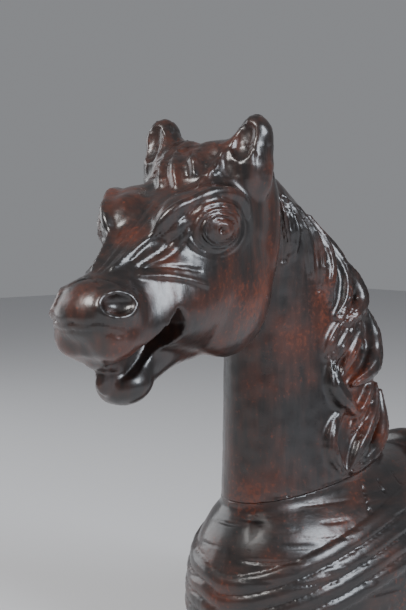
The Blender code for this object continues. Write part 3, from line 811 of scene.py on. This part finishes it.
def waxed_wood(name, stretch, worn_share, base_roughness):
    """Dark stained wood under wax: black in patches, red-brown between, worn to orange-red."""
    material = bpy.data.materials.new(name)
    material.use_nodes = True
    tree = material.node_tree
    shader = tree.nodes["Principled BSDF"]
    coords = Socket(tree, tree.nodes.new("ShaderNodeTexCoord").outputs["Object"])
    patches = coords.noise(26.0, 5.0)
    streaks = coords.noise(190.0, 6.0, stretch)
    fine = coords.noise(900.0, 3.0, stretch)
    flecks = coords.noise(420.0, 4.0)
    worn = 0.0
    for place, radius in WORN_PLACES:
        worn = coords.near(place, radius) + worn
    ground = (patches * 0.6 + streaks * 0.4).ramp(0.38, 0.66)
    red = (patches + worn * 0.15 + (streaks - 0.5) * 0.25).ramp(0.46 - worn_share, 0.80 - worn_share)
    rub = (flecks * 0.7 + worn * 0.12 + patches * 0.5).ramp(0.66, 0.86)
    colour = ground.mix(BLACK_WAX, DARK_BROWN)
    colour = (red * 0.75).mix(colour, RED_BROWN)
    colour = (rub * 0.50).mix(colour, WORN_ORANGE)
    coords.feed(shader.inputs["Base Color"], colour)
    coords.feed(shader.inputs["Roughness"], (flecks * 0.22 + streaks * 0.12) + base_roughness)
    shader.inputs["Coat Weight"].default_value = 0.55
    shader.inputs["Coat Roughness"].default_value = 0.22
    bump = coords.node("ShaderNodeBump", Strength=0.35, Distance=0.0008,
                       Height=streaks * 0.6 + fine * 0.25 + flecks * 0.35)
    tree.links.new(bump.outputs[0], shader.inputs["Normal"])
    return material


def block(name, source, cuts, material):
    """Makes one block of the horse: the carved form between its flat cuts."""
    bm = bmesh.new()
    bm.from_mesh(source.data)
    for point, normal in cuts:
        cut_flat(bm, point, normal)
    mesh = bpy.data.meshes.new(name)
    bm.to_mesh(mesh)
    bm.free()
    mesh.materials.append(material)
    mesh.shade_smooth()
    obj = bpy.data.objects.new(name, mesh)
    bpy.context.scene.collection.objects.link(obj)
    return obj


def area_light(name, place, size, power, colour):
    """Soft square light that looks at the horse."""
    light = bpy.data.lights.new(name, "AREA")
    light.shape = "SQUARE"
    light.size = size
    light.energy = power
    light.color = colour
    obj = bpy.data.objects.new(name, light)
    obj.location = place
    obj.rotation_euler = (Vector(LIGHT_AIM) - Vector(place)).to_track_quat("-Z", "Y").to_euler()
    bpy.context.scene.collection.objects.link(obj)


def add_floor():
    """Plain pale floor, which isn't part of the horse."""
    bpy.ops.object.select_all(action="DESELECT")
    bpy.ops.mesh.primitive_plane_add(size=FLOOR_SIZE, location=(0.0, 0.0, 0.0))
    floor = bpy.context.object
    floor.name = "studio_floor"
    paint = bpy.data.materials.new("pale_floor")
    paint.use_nodes = True
    shader = paint.node_tree.nodes["Principled BSDF"]
    shader.inputs["Base Color"].default_value = FLOOR_COLOUR
    shader.inputs["Roughness"].default_value = FLOOR_ROUGHNESS
    floor.data.materials.append(paint)


def add_air():
    """Grey surroundings."""
    world = bpy.data.worlds.new("studio_air")
    world.use_nodes = True
    background = world.node_tree.nodes["Background"]
    background.inputs["Color"].default_value = AIR_COLOUR
    background.inputs["Strength"].default_value = AIR_STRENGTH
    bpy.context.scene.world = world


def add_camera():
    """Camera at the photograph's angle."""
    lens = bpy.data.cameras.new("camera")
    lens.lens = CAMERA_LENS
    lens.sensor_fit = "VERTICAL"
    lens.sensor_height = CAMERA_SENSOR
    camera = bpy.data.objects.new("camera", lens)
    ahead = Vector((-math.sin(CAMERA_TURN) * math.cos(CAMERA_TIP),
                    math.cos(CAMERA_TURN) * math.cos(CAMERA_TIP), -math.sin(CAMERA_TIP)))
    camera.location = CAMERA_PLACE
    camera.rotation_euler = ahead.to_track_quat("-Z", "Y").to_euler()
    bpy.context.scene.collection.objects.link(camera)
    bpy.context.scene.camera = camera


def add_studio():
    """Floor, soft lights, surroundings and camera."""
    add_floor()
    for light in LIGHTS:
        area_light(*light)
    add_air()
    add_camera()


def build_horse():
    """The whole carved form, before it is parted along the glue line."""
    horse = mesh_from(build_masses, "horse")
    fuse(horse, MASS_VOXEL, 10)
    skin = BVHTree.FromObject(horse, bpy.context.evaluated_depsgraph_get())
    join(horse, mesh_from(build_carving, "carving", skin))
    fuse(horse, CARVING_VOXEL, 2)
    for side in (1, -1):
        subtract(horse, mesh_from(mouth_cutter, "mouth", side))
    subtract(horse, mesh_from(hollow_cutters, "hollows"))
    join(horse, mesh_from(add_tongue, "tongue"))
    fuse(horse, CARVING_VOXEL, 2)
    carve_collar(horse)
    carve_details(horse)
    return horse


def main():
    horse = build_horse()
    upwards = Vector((0.0, -math.sin(SEAM_SLOPE), math.cos(SEAM_SLOPE)))
    half_gap = upwards * (GLUE_GAP / 2.0)
    floor_cut = (Vector((0.0, 0.0, 0.0)), Vector((0.0, 0.0, -1.0)))
    pieces = (
        ("neck_and_head", "upright_grain_wood", [(SEAM_FRONT + half_gap, -upwards)],
         (1.0, 1.0, 0.16), 0.03, 0.16),
        ("chest_and_shoulders", "level_grain_wood", [(SEAM_FRONT - half_gap, upwards), floor_cut],
         (0.3, 0.2, 1.0), -0.04, 0.20),
    )
    for node, slot, cuts, stretch, worn_share, base_roughness in pieces:
        look = waxed_wood(slot + "_look", stretch, worn_share, base_roughness)
        piece = block(node + "_carved", horse, cuts, look)
        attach(piece, "root")
        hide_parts(node)
    bpy.data.objects.remove(horse, do_unlink=True)
    add_studio()


main()
